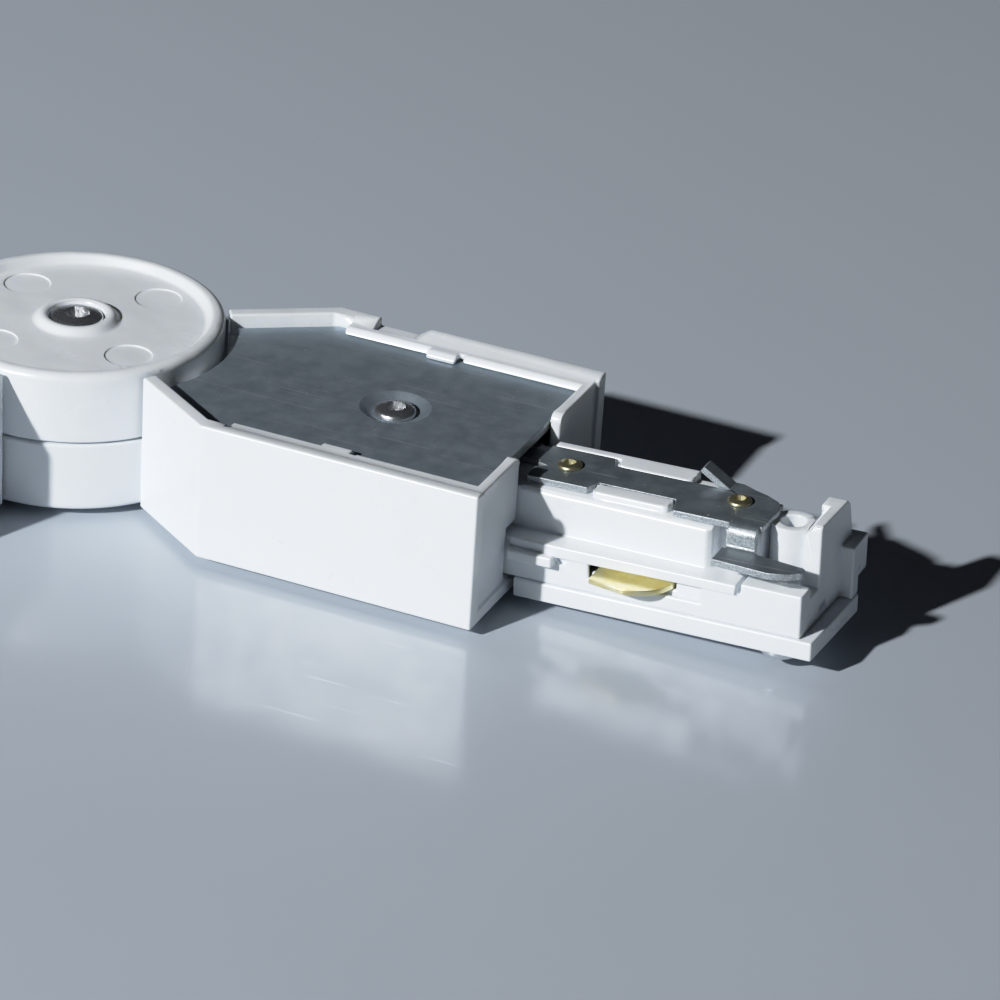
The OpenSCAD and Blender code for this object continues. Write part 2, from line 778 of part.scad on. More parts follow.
// Flat outline of the earth strip
module strip_outline() {
    slant_a = 0.4;
    slant_b = 0.3;
    wing = strip_half + 0.9;
    wing_x1 = waist_x1 + 6.8;
    far_x = waist_x1 + 4.1;
    far_y = strip_half + 0.3;
    end_x = waist_x1 + 10.6;
    tail_half = 1.2;
    difference() {
        polygon([[0.4, -strip_half], [waist_x0 - slant_a, -strip_half],
                 [waist_x0 + slant_b, -waist_half], [waist_x1 - slant_b, -waist_half],
                 [waist_x1 + slant_a, -wing], [wing_x1, -wing], [wing_x1 + 0.1, 0.4 - wing],
                 [end_x - 0.2, 0.4 - wing], [end_x, 0.2], [end_x - 0.25, 1.2],
                 [end_x - 0.8, 1.95], [end_x - 2.4, 2.9], [end_x - 4, 3.5],
                 [end_x - 5, far_y - 0.25], [end_x - 5.6, far_y], [far_x, far_y],
                 [far_x, waist_half], [waist_x0 + slant_b, waist_half],
                 [waist_x0 - slant_a, strip_half], [0.1, strip_half]]);
        polygon([[-1, -2.2], [1.4, -0.9], [-1, 0]]);
    }
    translate([-tail_len, earth_y - tail_half]) square([tail_len + 1, 2 * tail_half]);
}

// Earth strip stamped from one sheet: screw holes, raised finger, neck and blade
module earth_strip() {
    color(dull_zinc) difference() {
        union() {
            slab(seat_z + seat_gap, strip_top) strip_outline();
            raised_finger();
            neck();
            slab(strip_top - blade_drop - strip_t, strip_top - blade_drop) blade_outline();
            translate([-tail_len - barrel_len, earth_y, strip_top - barrel_r])
                rotate([0, 90, 0]) cylinder(r = barrel_r, h = barrel_len);
        }
        for (x = [inner_screw_x, outer_screw_x])
            translate([x, 0, 0]) cylinder(r = 1, h = far);
        translate([-tail_len - barrel_len - 1, earth_y, strip_top - barrel_r])
            rotate([0, 90, 0]) cylinder(r = barrel_bore, h = barrel_len + 1);
    }
}

// Finger sprung up from the far side of the strip, which earths to the track
module raised_finger() {
    root = waist_x1 + 4.2;
    y0 = waist_half + 0.1;
    y1 = strip_half + 0.3;
    translate([0, y1, 0])
        rotate([90, 0, 0])
            linear_extrude(y1 - y0)
                polygon([[root + 0.6, strip_top], [root - 0.1, strip_top],
                         [root - 3.2, strip_top + 2], [root - 3.7, strip_top + 1.4],
                         [root - 0.4, seat_z + seat_gap], [root + 0.6, seat_z + seat_gap]]);
}

// Double bend that carries the blade down beside the body
module neck() {
    r = 0.4;
    x0 = waist_x1 + 6.9;
    x1 = waist_x1 + 10.1;
    y_top = strip_half + 0.5;
    y_low = y_top + 2 * r + strip_t;
    z_top = strip_top - strip_t - r;
    z_low = strip_top - blade_drop + r;
    along_x(x0, x1) mirror([1, 0]) {
        intersection() {
            translate([y_top, z_top]) difference() {
                circle(r = r + strip_t);
                circle(r = r);
            }
            translate([y_top - eps, z_top]) square(far);
        }
        translate([y_top + r, z_low]) square([strip_t, z_top - z_low + eps]);
        intersection() {
            translate([y_low, z_low]) difference() {
                circle(r = r + strip_t);
                circle(r = r);
            }
            translate([y_low - 2, z_low - 2]) square([2 + eps, 2 + eps]);
        }
    }
}

// Flat earth blade with a rounded tip
module blade_outline() {
    x0 = waist_x1 + 6.5;
    y0 = strip_half + 0.5 + 0.8 + strip_t - eps;
    tip_r = 0.75;
    tip_x = x0 + 9.15;
    mirror([0, 1]) {
        polygon([[x0, y0], [x0 + 4.4, y0], [tip_x, y0 + 0.7], [tip_x + 0.4, y0 + 2],
                 [tip_x - 0.6, blade_reach - 0.3], [x0 + 6.4, blade_reach + 0.3],
                 [x0, blade_reach - 0.2]]);
        translate([tip_x, y0 + 1.45]) circle(r = tip_r);
    }
}

// Brass contact: half-round blade, straight leg and barrel
module contact(side) {
    leg = 1.2;
    leg_x1 = 21;
    color(brass_colour) mirror([0, side > 0 ? 0 : 1, 0]) difference() {
        union() {
            slab(brass_z - brass_t, brass_z) {
                translate([-tail_len, contact_y - leg]) square([tail_len + leg_x1, 2 * leg]);
                blade_shape();
            }
            translate([-tail_len - barrel_len, contact_y, brass_z - brass_t / 2])
                rotate([0, 90, 0]) cylinder(r = barrel_r, h = barrel_len);
        }
        translate([-tail_len - barrel_len - 1, contact_y, brass_z - brass_t / 2])
            rotate([0, 90, 0]) cylinder(r = barrel_bore, h = barrel_len + 1);
    }
}

// Blade outline: square inner corner, slanted front, round run-out
module blade_shape() {
    polygon([[blade_x0, contact_y], [blade_x0, brass_reach - 0.75], [blade_x1, brass_reach],
             [blade_x1, contact_y]]);
    translate([blade_x1 - eps, contact_y]) square([blade_run - 0.6, 2.4]);
    intersection() {
        translate([blade_x1 - eps, brass_reach - blade_run]) circle(r = blade_run);
        translate([blade_x1 - eps, contact_y]) square([blade_run, brass_reach]);
    }
}

// Points on a smooth curve through a list of points, two steps to a span
function curve_at(a, b, c, d, t) =
    0.5 * ((2 * b) + (c - a) * t + (2 * a - 5 * b + 4 * c - d) * t * t
           + (3 * b - a - 3 * c + d) * t * t * t);
function smooth(p, steps) =
    concat([for (i = [0 : len(p) - 2], k = [0 : steps - 1])
                curve_at(p[max(i - 1, 0)], p[i], p[i + 1], p[min(i + 2, len(p) - 1)], k / steps)],
           [p[len(p) - 1]]);
function unit(v) = v / norm(v);

// Tube of eight sides swept along a list of points
module tube(path, r) {
    sides = 8;
    n = len(path);
    rings = [for (i = [0 : n - 1])
        let (t = unit(path[min(i + 1, n - 1)] - path[max(i - 1, 0)]),
             side = unit(cross(t, [0, 0, 1])),
             up = cross(side, t))
        [for (k = [0 : sides - 1])
            path[i] + r * (cos(360 * k / sides) * side + sin(360 * k / sides) * up)]];
    points = [for (ring = rings, p = ring) p];
    skin = [for (i = [0 : n - 2], k = [0 : sides - 1])
        [i * sides + k, i * sides + (k + 1) % sides,
         (i + 1) * sides + (k + 1) % sides, (i + 1) * sides + k]];
    ends = [[for (k = [0 : sides - 1]) sides - 1 - k],
            [for (k = [0 : sides - 1]) (n - 1) * sides + k]];
    polyhedron(points = points, faces = concat(skin, ends), convexity = 10);
}

// A point given in the left arm, placed at the rest bend
function in_left(p) =
    [-p[0] * cos(rest_bend) - p[1] * sin(rest_bend),
     -p[0] * sin(rest_bend) + p[1] * cos(rest_bend), p[2]];

module wire(right, hub, left, tint) {
    left_back = [for (i = [0 : len(left) - 1]) in_left(left[i])];
    color(tint) tube(smooth(concat(right, hub, left_back), 1), wire_r);
}

module live_wire() { wire(live_right, live_hub, live_left, [0.45, 0.25, 0.12]); }
module neutral_wire() { wire(neutral_right, neutral_hub, neutral_left, [0.15, 0.3, 0.65]); }
module earth_wire() { wire(earth_right, earth_hub, earth_left, [0.55, 0.7, 0.2]); }

right_arm() housing_with_lower_drum();  // right_housing
right_arm() back_plate();  // right_back_plate
right_arm() plate_screw();  // right_plate_screw
right_arm() in_plug() plug_body();  // right_plug_body
right_arm() in_plug() plug_base();  // right_plug_base
right_arm() in_plug() base_screw();  // right_base_screw
right_arm() in_plug() earth_strip();  // right_earth_strip
right_arm() in_plug() strip_screw(inner_screw_x);  // right_strip_screw_inner
right_arm() in_plug() strip_screw(outer_screw_x);  // right_strip_screw_outer
right_arm() in_plug() contact(-1);  // right_live_contact
right_arm() in_plug() contact(1);  // right_neutral_contact
left_arm() housing_with_upper_drum();  // left_housing
left_arm() back_plate();  // left_back_plate
left_arm() plate_screw();  // left_plate_screw
left_arm() in_plug() plug_body();  // left_plug_body
left_arm() in_plug() plug_base();  // left_plug_base
left_arm() in_plug() base_screw();  // left_base_screw
left_arm() in_plug() earth_strip();  // left_earth_strip
left_arm() in_plug() strip_screw(inner_screw_x);  // left_strip_screw_inner
left_arm() in_plug() strip_screw(outer_screw_x);  // left_strip_screw_outer
left_arm() in_plug() contact(-1);  // left_live_contact
left_arm() in_plug() contact(1);  // left_neutral_contact
pivot_screw();
live_wire();
neutral_wire();
earth_wire();
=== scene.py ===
import math

import bmesh
import bpy
from mathutils import Matrix, Vector


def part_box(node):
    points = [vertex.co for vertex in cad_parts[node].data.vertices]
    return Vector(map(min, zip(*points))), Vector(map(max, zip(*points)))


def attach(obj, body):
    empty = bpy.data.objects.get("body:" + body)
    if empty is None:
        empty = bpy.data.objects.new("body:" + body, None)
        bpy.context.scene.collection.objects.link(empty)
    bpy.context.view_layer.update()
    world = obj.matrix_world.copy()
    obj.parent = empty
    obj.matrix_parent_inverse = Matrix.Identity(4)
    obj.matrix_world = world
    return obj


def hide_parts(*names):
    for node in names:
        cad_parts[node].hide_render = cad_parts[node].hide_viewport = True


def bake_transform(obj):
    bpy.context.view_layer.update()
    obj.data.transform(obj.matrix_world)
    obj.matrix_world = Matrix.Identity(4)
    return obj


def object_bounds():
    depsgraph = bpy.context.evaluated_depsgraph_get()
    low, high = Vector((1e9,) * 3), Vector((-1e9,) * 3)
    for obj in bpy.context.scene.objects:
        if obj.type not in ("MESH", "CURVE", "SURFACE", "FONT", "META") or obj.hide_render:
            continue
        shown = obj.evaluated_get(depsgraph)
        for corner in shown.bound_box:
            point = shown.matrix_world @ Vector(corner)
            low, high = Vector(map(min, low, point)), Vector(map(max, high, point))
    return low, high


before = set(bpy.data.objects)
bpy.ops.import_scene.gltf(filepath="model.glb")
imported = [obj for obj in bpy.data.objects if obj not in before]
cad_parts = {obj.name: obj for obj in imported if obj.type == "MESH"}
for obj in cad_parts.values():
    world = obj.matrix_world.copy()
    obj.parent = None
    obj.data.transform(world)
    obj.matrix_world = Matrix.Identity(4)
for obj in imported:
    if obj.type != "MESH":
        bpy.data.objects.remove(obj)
cad_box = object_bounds()
MM = 0.001


# Viewpoint: a long lens a little under half a metre away, looking down on the
# back plates from the near right, and rolled slightly.
view_azimuth = math.radians(22.25)
view_elevation = math.radians(27.65)
view_roll = math.radians(3.82)
view_centre = Vector((54.63, -4.17, 9.0)) * MM
view_distance = 461.97 * MM
lens_length = 153.36
sensor_width = 36


def new_object(name, data):
    thing = bpy.data.objects.new(name, data)
    bpy.context.scene.collection.objects.link(thing)
    return thing


view_back = Vector((math.sin(view_azimuth) * math.cos(view_elevation),
                    -math.cos(view_azimuth) * math.cos(view_elevation),
                    math.sin(view_elevation)))
level_right = Vector((math.cos(view_azimuth), math.sin(view_azimuth), 0))
level_up = view_back.cross(level_right)
view_right = level_right * math.cos(view_roll) + level_up * math.sin(view_roll)
view_up = level_up * math.cos(view_roll) - level_right * math.sin(view_roll)

camera = new_object("camera", bpy.data.cameras.new("camera"))
camera.data.sensor_width = sensor_width
camera.data.lens = lens_length
camera.data.clip_start = 10 * MM
camera.matrix_world = Matrix.LocRotScale(
    view_centre + view_back * view_distance,
    Matrix((view_right, view_up, view_back)).transposed(), None)
bpy.context.scene.camera = camera

# Tone curve: lifts the middle tones and rolls the whites off. Each pair is a
# level of light and the level that shows it.
tone_pairs = ((0.07, 0.085), (0.25, 0.3), (0.43, 0.52), (0.55, 0.64), (0.77, 0.785))
brightest = 0.89
viewing = bpy.context.scene.view_settings
viewing.view_transform = "Standard"
viewing.use_curve_mapping = True
tone_curve = viewing.curve_mapping.curves[3]
for seen, shown in tone_pairs:
    tone_curve.points.new(seen, shown)
tone_curve.points[-1].location = (1, brightest)
viewing.curve_mapping.update()


# Floor: a lacquered pale blue-grey board, about a millimetre below the part, so
# that its shadow and its mirror image start a little away from its lower edges.
floor_reach = 4.0
floor_gap = 1.1 * MM
board_gloss = "424345"


def linear(code):
    """An sRGB hex colour as linear red, green, blue and alpha."""
    parts = [int(code[k:k + 2], 16) / 255 for k in (0, 2, 4)]
    return [p / 12.92 if p <= 0.04045 else ((p + 0.055) / 1.055) ** 2.4 for p in parts] + [1]


def add_node(material, kind, links=(), **settings):
    """Adds a node. links are (input, node, output), settings name inputs or properties."""
    node = material.node_tree.nodes.new(kind)
    for name, value in settings.items():
        if hasattr(node, name):
            setattr(node, name, value)
        else:
            node.inputs[name.replace("_", " ")].default_value = value
    for target, source, output in links:
        material.node_tree.links.new(node.inputs[target], source.outputs[output])
    return node


def new_material(name, **settings):
    """A material with its shader and its Object coordinates. settings name shader inputs."""
    material = bpy.data.materials.new(name)
    material.use_nodes = True
    shader = material.node_tree.nodes["Principled BSDF"]
    for socket, value in settings.items():
        shader.inputs[socket.replace("_", " ")].default_value = value
    place = add_node(material, "ShaderNodeTexCoord")
    return material, shader, place


def wire_up(material, source, output, node, target):
    material.node_tree.links.new(node.inputs[target], source.outputs[output])


# Lacquered board: matt blue-grey paint, clouded over some centimetres, with painted
# light that makes it paler towards the back. Its thin lacquer adds a soft mirror
# image, ripples over a centimetre and has hairline scratches.
board, shader, place = new_material("lacquered_board", IOR=1.3, Roughness=0.7)
cloud = add_node(board, "ShaderNodeTexNoise", [("Vector", place, "Object")],
                 Scale=1 / (45 * MM), Detail=3)
across = add_node(board, "ShaderNodeSeparateXYZ", [("Vector", place, "Object")])
# Painted light: the board's colour is mixed paler towards the back, a painted lift of the
# light there.
back = add_node(board, "ShaderNodeMapRange", [("Value", across, "Y")],
                From_Min=-120 * MM, From_Max=260 * MM)
near_tone = add_node(board, "ShaderNodeMixRGB", [("Fac", cloud, "Fac")],
                     Color1=linear("ACB4BD"), Color2=linear("B2BAC2"))
board_tone_with_painted_light = add_node(board, "ShaderNodeMixRGB",
                  [("Fac", back, "Result"), ("Color1", near_tone, "Color")],
                  Color2=linear("CDD7E0"))
wire_up(board, board_tone_with_painted_light, "Color", shader, "Base Color")
wave = add_node(board, "ShaderNodeTexNoise", [("Vector", place, "Object")],
                Scale=1 / (8 * MM), Detail=2, Roughness=0.4)
peel = add_node(board, "ShaderNodeBump", [("Height", wave, "Fac")],
                Strength=0.2, Distance=0.25 * MM)
under = []
for turn, length in ((35, 12), (-28, 9), (80, 11)):
    along = add_node(board, "ShaderNodeMapping", [("Vector", place, "Object")],
                     Rotation=(0, 0, math.radians(turn)), Scale=(1 / length, 7, 1))
    bend = add_node(board, "ShaderNodeTexNoise", [("Vector", along, "Vector")],
                    Scale=1 / (1.2 * MM), Detail=0, Distortion=0.35)
    hair = add_node(board, "ShaderNodeMapRange", [("Value", bend, "Fac")],
                    From_Min=0.8, From_Max=0.84, To_Max=0.35)
    scratched = add_node(board, "ShaderNodeMixRGB", [("Fac", hair, "Result"), *under],
                         Color1=linear(board_gloss), Color2=linear("A0A2A4"))
    under = [("Color1", scratched, "Color")]
lacquer = add_node(board, "ShaderNodeBsdfGlossy",
                   [("Normal", peel, "Normal"), ("Color", scratched, "Color")],
                   Roughness=0.17)
coated = add_node(board, "ShaderNodeAddShader", [(0, shader, "BSDF"), (1, lacquer, "BSDF")])
wire_up(board, coated, "Shader", board.node_tree.nodes["Material Output"], "Surface")

grid = bmesh.new()
bmesh.ops.create_grid(grid, x_segments=1, y_segments=1, size=floor_reach)
mesh = bpy.data.meshes.new("floor")
grid.to_mesh(mesh)
grid.free()
floor = new_object("floor", mesh)
floor.location = (0, 0, cad_box[0][2] - floor_gap)
mesh.materials.append(board)


# Light: one small studio lamp a metre away at the near left, and a dim even
# surround that opens the shadows a little.
key_place = Vector((-291, -791, 511)) * MM
key_size = 38 * MM
key_power = 10.0
surround_strength = 0.012

lamp = bpy.data.lights.new("key", "AREA")
lamp.shape = "DISK"
lamp.size = key_size
lamp.energy = key_power
lamp.color = linear("FBFCFF")[:3]
key = new_object("key", lamp)
key.location = key_place
key.rotation_euler = (key_place - view_centre).to_track_quat("Z", "Y").to_euler()

world = bpy.context.scene.world or bpy.data.worlds.new("surround")
bpy.context.scene.world = world
world.use_nodes = True
surround = world.node_tree.nodes["Background"]
surround.inputs["Color"].default_value = linear("E6ECFF")
surround.inputs["Strength"].default_value = surround_strength


# Housings: two injection-moulded arms, each in one piece with half of the hub
# drum, its end wall, lips and snap tabs. White ABS, satin from a fine-eroded
# tool, with slightly softened edges, softened less at shallow steps.
arms = {"right": "right_arm", "left": "left_arm"}
housing_edge = 0.26 * MM
edge_angle = math.radians(28)
crease_angle = math.radians(35)
flat_angle = math.radians(0.5)
merge_distance = 0.025 * MM
step_height = 0.16 * MM
step_share = 0.2

# ABS: a hard satin white that lets a little light into its skin, so thin edges
# and the borders of shadows look warm. Its gloss varies over some millimetres,
# and it has faint sink marks and a fine tool grain.
moulded_abs, shader, place = new_material(
    "white_moulded_abs", IOR=1.54, Subsurface_Weight=0.3,
    Subsurface_Radius=(1.0, 0.92, 0.55), Subsurface_Scale=0.5 * MM)
haze = add_node(moulded_abs, "ShaderNodeTexNoise", [("Vector", place, "Object")],
                Scale=1 / (9 * MM), Detail=4, Roughness=0.6)
tint = add_node(moulded_abs, "ShaderNodeMixRGB", [("Fac", haze, "Fac")],
                Color1=linear("EDF3F8"), Color2=linear("F1F6FA"))
wire_up(moulded_abs, tint, "Color", shader, "Base Color")
gloss = add_node(moulded_abs, "ShaderNodeMapRange", [("Value", haze, "Fac")],
                 To_Min=0.22, To_Max=0.36)
wire_up(moulded_abs, gloss, "Result", shader, "Roughness")
grain = add_node(moulded_abs, "ShaderNodeTexNoise", [("Vector", place, "Object")],
                 Scale=1 / (0.35 * MM), Detail=2)
sink = add_node(moulded_abs, "ShaderNodeTexNoise", [("Vector", place, "Object")],
                Scale=1 / (5 * MM), Detail=1)
sunk = add_node(moulded_abs, "ShaderNodeBump", [("Height", sink, "Fac")],
                Strength=1.0, Distance=0.16 * MM)
skin = add_node(moulded_abs, "ShaderNodeBump",
                [("Height", grain, "Fac"), ("Normal", sunk, "Normal")],
                Strength=0.05, Distance=0.02 * MM)
wire_up(moulded_abs, skin, "Normal", shader, "Normal")


def dress(piece, material, node, body):
    """Gives a piece its finish, and lets it stand for a node and move with a body."""
    piece.data.materials.clear()
    piece.data.materials.append(material)
    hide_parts(node)
    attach(piece, body)


def finished_copy(node, width):
    """A merged copy of a CAD node with its sharp edges softened, inside the node's box."""
    low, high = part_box(node)
    shape = bmesh.new()
    shape.from_mesh(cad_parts[node].data)
    bmesh.ops.remove_doubles(shape, verts=shape.verts, dist=merge_distance)
    bmesh.ops.dissolve_limit(shape, angle_limit=flat_angle, verts=shape.verts,
                             edges=shape.edges)
    shallow, sharp = [], []
    for edge in shape.edges:
        if len(edge.link_faces) == 2 and edge.calc_face_angle() > edge_angle:
            narrow = min(2 * f.calc_area() / f.calc_perimeter() for f in edge.link_faces)
            (shallow if narrow < step_height else sharp).append(edge)
    bmesh.ops.triangulate(shape, faces=shape.faces)
    for edges, offset in ((sharp, width), (shallow, step_share * width)):
        bmesh.ops.bevel(shape, geom=[e for e in edges if e.is_valid], offset=offset,
                        offset_type="OFFSET", segments=3, profile=0.5, affect="EDGES",
                        material=-1, clamp_overlap=False, loop_slide=False)
    for corner in shape.verts:
        corner.co = [min(max(v, a), b) for v, a, b in zip(corner.co, low, high)]
    for face in shape.faces:
        face.smooth = True
    mesh = bpy.data.meshes.new(node + "_finished")
    shape.to_mesh(mesh)
    shape.free()
    mesh.set_sharp_from_angle(angle=crease_angle)
    piece = new_object(node + "_finished", mesh)
    piece.modifiers.new("even shading", "WEIGHTED_NORMAL").keep_sharp = True
    return piece


for side, body in arms.items():
    housing = finished_copy(side + "_housing", housing_edge)
    dress(housing, moulded_abs, side + "_housing", body)


# Back plates: blanked sheet steel with a dull zinc plating and a pressed dimple
# for the screw. Each lies under the lips of its housing.
plate_edge = 0.1 * MM
plate_cut_height = 1.1 * MM
upright_below = 0.8
cut_roughness = 0.4
face_relief = 0.06
cut_relief = 0.6


def zinc_plating(name, dark, pale, roughness, metal):
    """Passivated zinc on steel: a dull grey mottle a few millimetres across, with
    small bright specks, hairline scratches, and sparkling grainy cut edges."""
    material, shader, place = new_material(name, Metallic=metal)
    mottle = add_node(material, "ShaderNodeTexNoise", [("Vector", place, "Object")],
                      Scale=1 / (2.4 * MM), Detail=6, Roughness=0.62)
    spread = add_node(material, "ShaderNodeMapRange", [("Value", mottle, "Fac")],
                      From_Min=0.36, From_Max=0.64)
    grey = add_node(material, "ShaderNodeMixRGB", [("Fac", spread, "Result")],
                    Color1=linear(dark), Color2=linear(pale))
    dust = add_node(material, "ShaderNodeTexNoise", [("Vector", place, "Object")],
                    Scale=1 / (0.45 * MM), Detail=1)
    speck = add_node(material, "ShaderNodeMapRange", [("Value", dust, "Fac")],
                     From_Min=0.76, From_Max=0.82)
    colour = add_node(material, "ShaderNodeMixRGB",
                      [("Fac", speck, "Result"), ("Color1", grey, "Color")],
                      Color2=linear("E4E8EA"))
    for turn, length in ((18, 14), (-47, 9)):
        along = add_node(material, "ShaderNodeMapping", [("Vector", place, "Object")],
                         Rotation=(0, 0, math.radians(turn)), Scale=(1 / length, 4, 1))
        streak = add_node(material, "ShaderNodeTexNoise", [("Vector", along, "Vector")],
                          Scale=1 / (1.1 * MM), Detail=0)
        hair = add_node(material, "ShaderNodeMapRange", [("Value", streak, "Fac")],
                        From_Min=0.78, From_Max=0.83, To_Max=0.35)
        colour = add_node(material, "ShaderNodeMixRGB",
                          [("Fac", hair, "Result"), ("Color1", colour, "Color")],
                          Color2=linear("D8DDE0"))
    cut = add_node(material, "ShaderNodeAttribute", attribute_name="cut")
    crystal = add_node(material, "ShaderNodeTexNoise", [("Vector", place, "Object")],
                       Scale=1 / (0.16 * MM), Detail=2)
    spangle = add_node(material, "ShaderNodeMapRange", [("Value", crystal, "Fac")],
                       From_Min=0.36, From_Max=0.64)
    sheared = add_node(material, "ShaderNodeMixRGB", [("Fac", spangle, "Result")],
                       Color1=linear("8B9498"), Color2=linear("BFC5C8"))
    plated = add_node(material, "ShaderNodeMixRGB",
                      [("Fac", cut, "Fac"), ("Color1", colour, "Color"),
                       ("Color2", sheared, "Color")])
    wire_up(material, plated, "Color", shader, "Base Color")
    rough = add_node(material, "ShaderNodeMapRange", [("Value", spread, "Result")],
                     To_Min=roughness - 0.03, To_Max=roughness + 0.05)
    sheen = add_node(material, "ShaderNodeMixRGB",
                     [("Fac", cut, "Fac"), ("Color1", rough, "Result")],
                     Color2=(cut_roughness, cut_roughness, cut_roughness, 1))
    wire_up(material, sheen, "Color", shader, "Roughness")
    relief = add_node(material, "ShaderNodeMath", [(0, cut, "Fac")],
                      operation="MULTIPLY_ADD")
    relief.inputs[1].default_value = cut_relief
    relief.inputs[2].default_value = face_relief
    tooth = add_node(material, "ShaderNodeBump",
                     [("Height", crystal, "Fac"), ("Strength", relief, "Value")],
                     Distance=0.06 * MM)
    wire_up(material, tooth, "Normal", shader, "Normal")
    return material


def mark_cut_faces(piece, tallest):
    """Writes 1 on the upright faces that are less than tallest high, and 0 elsewhere."""
    cut = piece.data.attributes.new("cut", "FLOAT", "FACE")
    for face in piece.data.polygons:
        heights = [piece.data.vertices[k].co.z for k in face.vertices]
        tall = max(heights) - min(heights)
        upright = abs(face.normal.z) < upright_below
        cut.data[face.index].value = float(upright and tall < tallest)


dull_plate = zinc_plating("dull_zinc_plated_sheet", "9BA9B3", "A7B4BD", 0.53, 0.72)
for side, body in arms.items():
    plate = finished_copy(side + "_back_plate", plate_edge)
    mark_cut_faces(plate, plate_cut_height)
    dress(plate, dull_plate, side + "_back_plate", body)


# Screws of the hub and the plates: cold-headed pan heads with a cross recess and
# a ringed shank. The left arm's screws are mirrored copies of the right arm's.
recess_depth = 0.9
recess_tilt = 20
screw_crease = math.radians(32)
screw_lift = 0.03
seam_merge = 0.001 * MM
cut_merge = 0.002 * MM
pivot_seat = 15.63
plate_screw_x = 39.8
housing_height = 16.1
plate_drop = 1.4
dimple_depth = 0.75
dimple_floor = housing_height - plate_drop - dimple_depth
arm_turn = math.radians(55)
left_turn = Matrix.Rotation(arm_turn, 4, "Z") @ Matrix.Scale(-1, 4, (1, 0, 0))
in_arm = {"right": Matrix.Identity(4), "left": left_turn}

# Bright nickel on steel: a clear sheen, broken by fine scuffs from the driver
bright_nickel, shader, place = new_material("bright_nickel_plated_steel", Metallic=0.96,
                                            Base_Color=linear("E2E5E8"))
scuff = add_node(bright_nickel, "ShaderNodeTexNoise", [("Vector", place, "Object")],
                 Scale=1 / (0.3 * MM), Detail=3)
worn = add_node(bright_nickel, "ShaderNodeMapRange", [("Value", scuff, "Fac")],
                To_Min=0.2, To_Max=0.4)
wire_up(bright_nickel, worn, "Result", shader, "Roughness")
mark = add_node(bright_nickel, "ShaderNodeBump", [("Height", scuff, "Fac")],
                Strength=0.5, Distance=0.05 * MM)
wire_up(bright_nickel, mark, "Normal", shader, "Normal")


def cut_away(piece, cutter):
    """Cuts a shape out of a piece's mesh and removes the cutter."""
    tool = new_object("cutter", bpy.data.meshes.new("cutter"))
    cutter.to_mesh(tool.data)
    cutter.free()
    cut = piece.modifiers.new("cut", "BOOLEAN")
    cut.operation = "DIFFERENCE"
    cut.object = tool
    seen = piece.evaluated_get(bpy.context.evaluated_depsgraph_get())
    mesh = bpy.data.meshes.new_from_object(seen)
    piece.modifiers.clear()
    old, piece.data = piece.data, mesh
    bpy.data.meshes.remove(old)
    bpy.data.objects.remove(tool)


def cross_screw(name, head_r, head_h, shank_r, shank_len, slot_w):
    """A pan-head screw with a cross recess: head above the origin, shank below.
    Sizes are in millimetres."""
    dome_r = 2.6 * head_r
    lip = 0.22 * head_r
    root_r = 0.8 * shank_r
    tip_r = 0.15 * shank_r
    outline = [(0, head_h)]
    for step in range(1, 7):
        r = (head_r - lip) * step / 6
        outline.append((r, head_h - dome_r + math.sqrt(dome_r ** 2 - r ** 2)))
    shoulder = outline[-1][1]
    drop = shoulder * 0.7
    for step in (1, 2, 3):
        bend = math.pi / 6 * step
        outline.append((head_r - lip + lip * math.sin(bend),
                        shoulder - drop * (1 - math.cos(bend))))
    outline += [(head_r, 0.05), (head_r - 0.05, 0), (shank_r, 0)]
    pitch = 0.42 * shank_r
    turns = int((shank_len - 1.2 * shank_r) / pitch)
    for turn in range(turns):
        outline += [(shank_r, -pitch * (turn + 0.4)), (root_r, -pitch * (turn + 0.7))]
    outline += [(root_r, 1.1 * shank_r - shank_len), (tip_r, -shank_len), (0, -shank_len)]
    shape = bmesh.new()
    ring = [shape.verts.new(Vector((r, 0, z)) * MM) for r, z in outline]
    for a, b in zip(ring, ring[1:]):
        shape.edges.new((a, b))
    bmesh.ops.spin(shape, geom=shape.verts[:] + shape.edges[:], axis=(0, 0, 1),
                   cent=(0, 0, 0), steps=40, angle=math.tau, use_merge=True)
    bmesh.ops.remove_doubles(shape, verts=shape.verts, dist=seam_merge)
    bmesh.ops.recalc_face_normals(shape, faces=shape.faces)
    mesh = bpy.data.meshes.new(name)
    shape.to_mesh(mesh)
    shape.free()
    screw = new_object(name, mesh)

    mouth_reach, mouth_w, mouth_z = 1.14 * head_r, slot_w, head_h * 1.3
    foot_reach, foot_w, foot_z = 0.6 * head_r, slot_w * 0.62, head_h - recess_depth * head_h
    for turn in (recess_tilt, recess_tilt + 90):
        wing = bmesh.new()
        bmesh.ops.create_cube(wing, size=1)
        for corner in wing.verts:
            x, y, z = corner.co
            if z > 0:
                corner.co = Vector((x * mouth_reach, y * mouth_w, mouth_z)) * MM
            else:
                corner.co = Vector((x * foot_reach, y * foot_w, foot_z)) * MM
        bmesh.ops.rotate(wing, verts=wing.verts,
                         matrix=Matrix.Rotation(math.radians(turn), 3, "Z"))
        cut_away(screw, wing)
    pit = bmesh.new()
    pit_depth = 0.75 * head_r
    pit_top = 0.06
    bmesh.ops.create_cone(pit, cap_ends=True, segments=9, radius1=0.06 * head_r * MM,
                          radius2=0.54 * head_r * MM, depth=pit_depth * MM)
    bmesh.ops.translate(pit, verts=pit.verts,
                        vec=(0, 0, (head_h + pit_top - pit_depth / 2) * MM))
    cut_away(screw, pit)

    shape = bmesh.new()
    shape.from_mesh(screw.data)
    bmesh.ops.remove_doubles(shape, verts=shape.verts, dist=cut_merge)
    for face in shape.faces:
        face.smooth = True
    shape.to_mesh(screw.data)
    shape.free()
    screw.data.set_sharp_from_angle(angle=screw_crease)
    return screw


